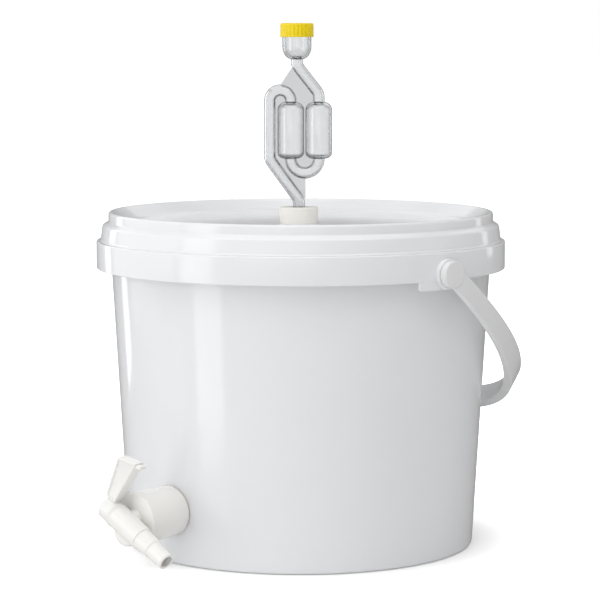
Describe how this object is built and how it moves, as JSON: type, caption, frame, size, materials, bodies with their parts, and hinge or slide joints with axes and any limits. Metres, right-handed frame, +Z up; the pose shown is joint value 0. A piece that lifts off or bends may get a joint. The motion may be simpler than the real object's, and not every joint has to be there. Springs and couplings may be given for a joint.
{
  "type": "fermentation bucket with airlock",
  "caption": "White round fermentation bucket with a press-fit lid, a clear airlock in a rubber bung, a plastic bail handle and a lever tap with a hose spout low on its wall.",
  "frame": {"origin": "centre of the flat underside that the bucket stands on", "axes": "+Z up along the bucket's axis, +X along the handle's pivot axis, -Y the side that the tap is on"},
  "size_m": [0.2964, 0.3117, 0.3563],
  "materials": {
    "bucket_plastic": "glossy white",
    "lid_plastic": "glossy white",
    "gasket_rubber": "matt, soft",
    "bung_rubber": "matt cream",
    "clear_plastic": "clear, polished",
    "cap_plastic": "satin yellow",
    "handle_plastic": "satin white",
    "tap_plastic": "satin white",
    "plug_plastic": "satin white",
    "washer_rubber": "matt beige"
  },
  "bodies": {
    "bucket": {"bucket": "bucket_plastic", "tap_body": "tap_plastic", "tap_outer_washer": "washer_rubber", "tap_inner_washer": "washer_rubber", "tap_back_nut": "tap_plastic"},
    "lid": {"lid": "lid_plastic", "lid_gasket": "gasket_rubber", "airlock_bung": "bung_rubber"},
    "airlock": {"airlock_body": "clear_plastic"},
    "cap": {"airlock_cap": "cap_plastic"},
    "handle": {"handle": "handle_plastic"},
    "lever": {"tap_plug": "plug_plastic"}
  },
  "joints": [
    {"name": "handle_swing", "type": "hinge", "parent": "bucket", "child": "handle", "pos_m": [0, 0, 0.1946], "axis": [1, 0, 0], "range_deg": [0, 255]},
    {"name": "lid_lift", "type": "slide", "parent": "bucket", "child": "lid", "axis": [0, 0, 1], "range_m": [0, 0.06]},
    {"name": "airlock_lift", "type": "slide", "parent": "lid", "child": "airlock", "axis": [0, 0, 1], "range_m": [0, 0.05]},
    {"name": "cap_lift", "type": "slide", "parent": "airlock", "child": "cap", "axis": [0, 0, 1], "range_m": [0, 0.02]},
    {"name": "lever_turn", "type": "hinge", "parent": "bucket", "child": "lever", "pos_m": [0.00894, -0.16238, 0.03421], "axis": [0.8818, 0.0753, -0.4656], "range_deg": [0, 90]}
  ]
}
